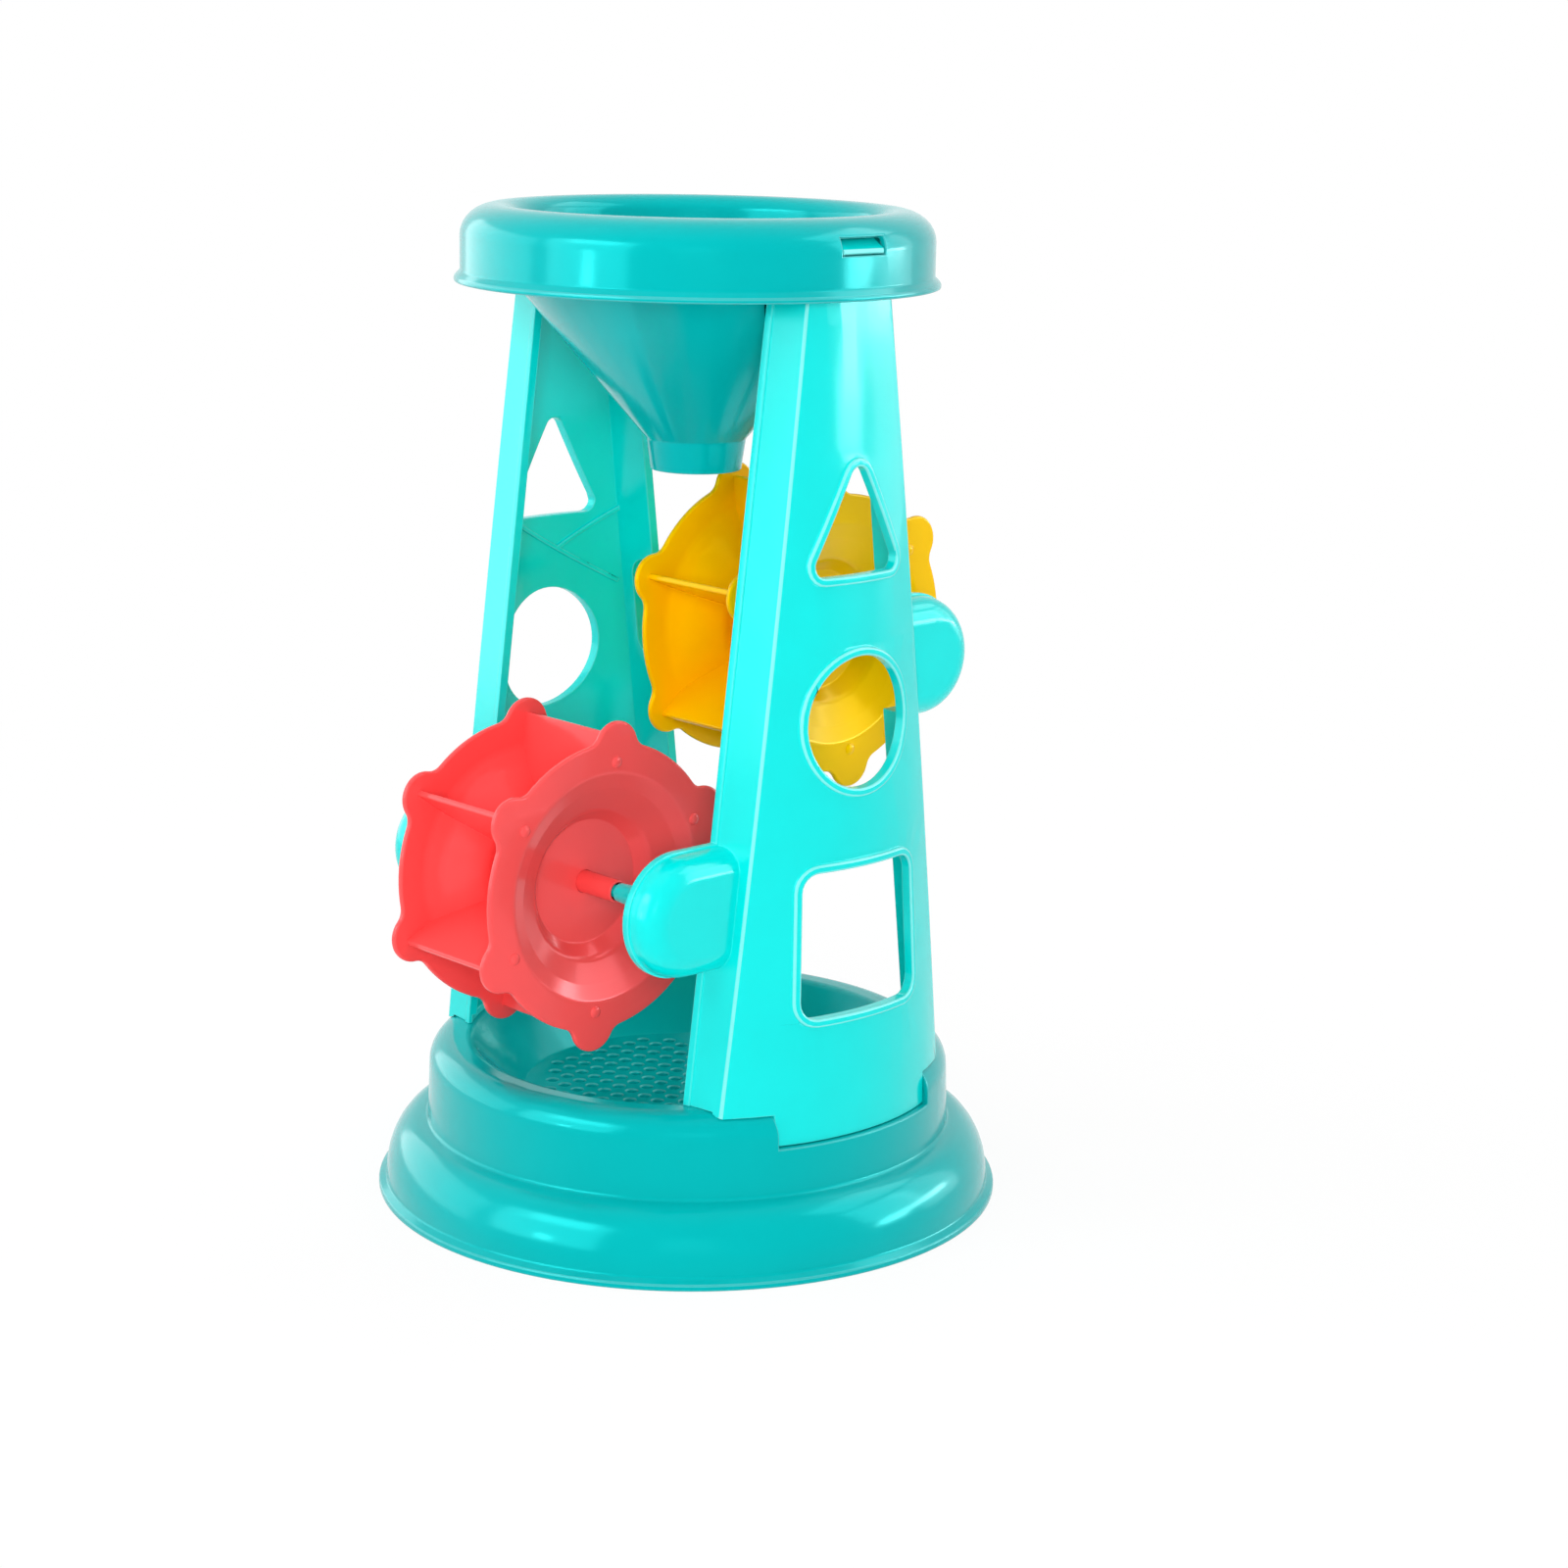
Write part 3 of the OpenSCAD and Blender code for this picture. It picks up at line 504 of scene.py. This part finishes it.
def disc(name, hole_r, side):
    """A dished disc with a rounded lobed edge; side is -1 for the disc at -X, 1 for that at +X."""
    outline = lobed_outline()

    def edge_ring(inset, depth):
        return [(*(p - n * inset), side * (HALF_W - depth)) for p, n in outline]

    def round_ring(radius, depth):
        return [(*(p.normalized() * radius), side * (HALF_W - depth)) for p, n in outline]

    rings = [round_ring(hole_r, DISH_FLOOR), round_ring(DISH_FLOOR_R, DISH_FLOOR)]
    outside = rounded(DISH_OUTSIDE + [(DISH_FLOOR_R, DISH_FLOOR, 0.0)])[:-1]
    rings += [round_ring(r, depth) for r, depth in reversed(outside)]
    for i in range(ROUND_STEPS + 1):
        a = math.pi / 2 * i / ROUND_STEPS
        rings.append(edge_ring(DISC_EDGE * (1 - math.sin(a)), DISC_EDGE * (1 - math.cos(a))))
    for i in range(ROUND_STEPS + 1):
        a = math.pi / 2 * (1 - i / ROUND_STEPS)
        depth = DISC_T - DISC_EDGE * (1 - math.cos(a))
        rings.append(edge_ring(DISC_EDGE * (1 - math.sin(a)), depth))
    rings += [round_ring(r, depth) for r, depth in rounded(DISH_INSIDE)]
    rings.append(round_ring(hole_r, DISH_FLOOR + DISC_T))
    return make(name, *skin(rings))


def inner_depth(radius):
    """Depth of a disc's inner side at a radius."""
    path = rounded(DISH_INSIDE)
    for a, b in zip(path, path[1:]):
        if b.x <= radius <= a.x:
            return a.y + (b.y - a.y) * (a.x - radius) / (a.x - b.x)
    return DISC_T if radius > path[0].x else path[-1].y


def vanes(name):
    """The six vanes, each a plate between the discs with a rounded outer edge."""
    radii = [WELD_R] + VANE_RADII + [VANE_R]
    side = [(r, -HALF_W + inner_depth(r) - VANE_SINK) for r in radii]
    side += [(r, HALF_W - inner_depth(r) - VANE_GAP) for r in reversed(radii)]
    count = len(side)
    points, faces = [], []
    for k in range(LOBES):
        along = Vector((math.cos(math.tau * k / LOBES), math.sin(math.tau * k / LOBES)))
        across = Vector((-along.y, along.x))
        for half in (-VANE_T / 2, VANE_T / 2):
            points += [(*(r * along + half * across), z) for r, z in side]
        a = 2 * count * k
        b = a + count
        faces.append(tuple(a + i for i in range(count)))
        faces.append(tuple(b + i for i in reversed(range(count))))
        faces += [(a + i, a + (i + 1) % count, b + (i + 1) % count, b + i) for i in range(count)]
    obj = make(name, points, faces)
    bm = bmesh.new()
    bm.from_mesh(obj.data)
    rim = [e for e in bm.edges if abs(e.verts[0].co.z - e.verts[1].co.z) > MM
           and all(math.hypot(v.co.x, v.co.y) > (VANE_R - VANE_NEAR) * MM for v in e.verts)]
    bmesh.ops.bevel(bm, geom=rim, offset=VANE_EDGE * MM, offset_type="OFFSET",
                    segments=VANE_EDGE_STEPS, profile=0.5, affect="EDGES", clamp_overlap=False)
    bm.to_mesh(obj.data)
    bm.free()
    return obj


def ring_places(radius):
    """One place on a ring for each lobe."""
    turns = [math.tau * k / LOBES for k in range(LOBES)]
    return [(radius * math.cos(turn), radius * math.sin(turn)) for turn in turns]


def pegs(name):
    """The pegs that hold the cover, with their flattened round heads."""
    seat = HALF_W + PEG_HEAD_LIFT
    rises = [math.pi / 2 * i / ROUND_STEPS for i in range(ROUND_STEPS + 1)]
    head = [(PEG_HEAD_R * math.cos(a), seat + PEG_HEAD_H * math.sin(a)) for a in rises]
    path = [(0.0, PEG_FOOT), (PEG_R, PEG_FOOT), (PEG_R, seat)] + head
    return turned(name, path, PEG_STEPS, ring_places(PEG_RING_R))


def hub(name):
    """The hub tube, whose bore flares at both ends."""
    inner = HUB_END - MOUTH_DEPTH
    corners = [(HUB_R, -HUB_END, HUB_EDGE), (HUB_R, HUB_END, HUB_EDGE), (MOUTH_R, HUB_END, MOUTH_EDGE),
               (BORE_R, inner, 0), (BORE_R, -inner, 0), (MOUTH_R, -HUB_END, MOUTH_EDGE)]
    return turned(name, rounded(corners, True), TUBE_STEPS)


def laid(obj, axle, turn):
    """Lays a wheel made about Z along X, at its axle and turn."""
    place = Matrix.Translation(Vector(axle) * MM)
    spin = Matrix.Rotation(math.radians(-turn), 4, "X")
    obj.data.transform(place @ spin @ Matrix.Rotation(math.pi / 2, 4, "Y"))


def wheel(name, axle, turn, material):
    """A wheel's two pieces: its rotor with vanes, hub and pegs, and the disc that is its cover."""
    rotor = disc(name + "_rotor", WELD_R, -1)
    combine(rotor, hub(name + "_hub"), "UNION")
    combine(rotor, vanes(name + "_vanes"), "UNION")
    combine(rotor, pegs(name + "_pegs"), "UNION")
    cover = disc(name + "_disc", HOLE_R, 1)
    bit = [(0.0, DRILL_FROM), (PEG_HOLE_R, DRILL_FROM), (PEG_HOLE_R, DRILL_TO), (0.0, DRILL_TO)]
    drill = turned(name + "_drill", bit, PEG_STEPS, ring_places(PEG_RING_R))
    combine(cover, drill, "DIFFERENCE")
    for obj, node in ((rotor, name), (cover, name + "_cover")):
        laid(obj, axle, turn)
        finished(obj, node, name + "_body", material)


# Studio

def softbox(name, mirrored, angle, rise, distance, width, height, radiance):
    """A panel of light that faces the object, and either shows in gloss or lights the surfaces."""
    data = bpy.data.lights.new(name, "AREA")
    data.shape = "RECTANGLE"
    data.size = width
    data.size_y = height
    data.energy = radiance * math.pi * width * height
    obj = linked(name, data)
    a, e = math.radians(angle), math.radians(rise)
    way = Vector((math.cos(a) * math.cos(e), math.sin(a) * math.cos(e), math.sin(e)))
    place = way * distance + Vector((0, 0, AIM_HEIGHT))
    facing = (-way).to_track_quat("-Z", "Y").to_matrix().to_4x4()
    obj.matrix_world = Matrix.Translation(place) @ facing
    obj.visible_camera = False
    obj.visible_glossy = mirrored
    obj.visible_diffuse = not mirrored


def seen_directly(nodes, links):
    """1 for the rays that show a white background, and 0 for the rays that light the object."""
    path = nodes.new("ShaderNodeLightPath")
    value, *others = [path.outputs[ray] for ray in WHITE_RAYS]
    for other in others:
        largest = nodes.new("ShaderNodeMath")
        largest.operation = "MAXIMUM"
        links.new(value, largest.inputs[0])
        links.new(other, largest.inputs[1])
        value = largest.outputs[0]
    return value


def world():
    """A white surround for the camera and for reflections, and a softer light on the object."""
    scene = bpy.context.scene
    scene.world = bpy.data.worlds.new("studio")
    scene.world.use_nodes = True
    nodes, links = scene.world.node_tree.nodes, scene.world.node_tree.links
    nodes.clear()
    seen = seen_directly(nodes, links)
    back = nodes.new("ShaderNodeBackground")
    back.inputs["Color"].default_value = (1, 1, 1, 1)
    links.new(spread(nodes, links, seen, AMBIENT, 1.0), back.inputs["Strength"])
    out = nodes.new("ShaderNodeOutputWorld")
    links.new(back.outputs[0], out.inputs["Surface"])


def floor():
    """A white floor that keeps the object's shadow."""
    mesh = bpy.data.meshes.new("floor")
    corners = [(x * FLOOR_HALF, y * FLOOR_HALF, 0) for x, y in ((-1, -1), (1, -1), (1, 1), (-1, 1))]
    mesh.from_pydata(corners, [], [(0, 1, 2, 3)])
    obj = linked("floor", mesh)
    material = bpy.data.materials.new("floor_white")
    material.use_nodes = True
    nodes, links = material.node_tree.nodes, material.node_tree.links
    nodes.clear()
    diffuse = nodes.new("ShaderNodeBsdfDiffuse")
    diffuse.inputs["Color"].default_value = (FLOOR_PALE, FLOOR_PALE, FLOOR_PALE, 1)
    glow = nodes.new("ShaderNodeEmission")
    seen = seen_directly(nodes, links)
    place = nodes.new("ShaderNodeTexCoord")
    reach = nodes.new("ShaderNodeVectorMath")
    reach.operation = "LENGTH"
    links.new(place.outputs["Object"], reach.inputs[0])
    fade = spread(nodes, links, reach.outputs["Value"], FLOOR_GLOW, 1.0, FLOOR_NEAR, FLOOR_FAR)
    share = nodes.new("ShaderNodeMath")
    share.operation = "MULTIPLY"
    links.new(seen, share.inputs[0])
    links.new(fade, share.inputs[1])
    mix = nodes.new("ShaderNodeMixShader")
    links.new(share.outputs[0], mix.inputs[0])
    links.new(diffuse.outputs[0], mix.inputs[1])
    links.new(glow.outputs[0], mix.inputs[2])
    out = nodes.new("ShaderNodeOutputMaterial")
    links.new(mix.outputs[0], out.inputs["Surface"])
    mesh.materials.append(material)


# The scene

teal = plastic("teal_plastic", TEAL, TEAL_GLOSS)
aqua = plastic("aqua_plastic", AQUA, AQUA_GLOSS)
coral = plastic("coral_plastic", CORAL, CORAL_GLOSS)
amber = plastic("amber_plastic", AMBER, AMBER_GLOSS)
for node, slot, finish in (("base", "stand_teal", teal), ("hopper", "stand_teal", teal),
                           ("leg_right", "legs_aqua", aqua), ("leg_left", "legs_aqua", aqua)):
    finished(softened(node, node + "_moulded"), node, "stand", finish)
wheel("lower_wheel", LOWER_AXLE, LOWER_TURN, coral)
wheel("upper_wheel", UPPER_AXLE, UPPER_TURN, amber)

camera()
world()
floor()
for name, place in PANELS.items():
    softbox(name, True, *place)
for name, place in LAMPS.items():
    softbox(name, False, *place)
bpy.context.scene.view_settings.view_transform = "Standard"
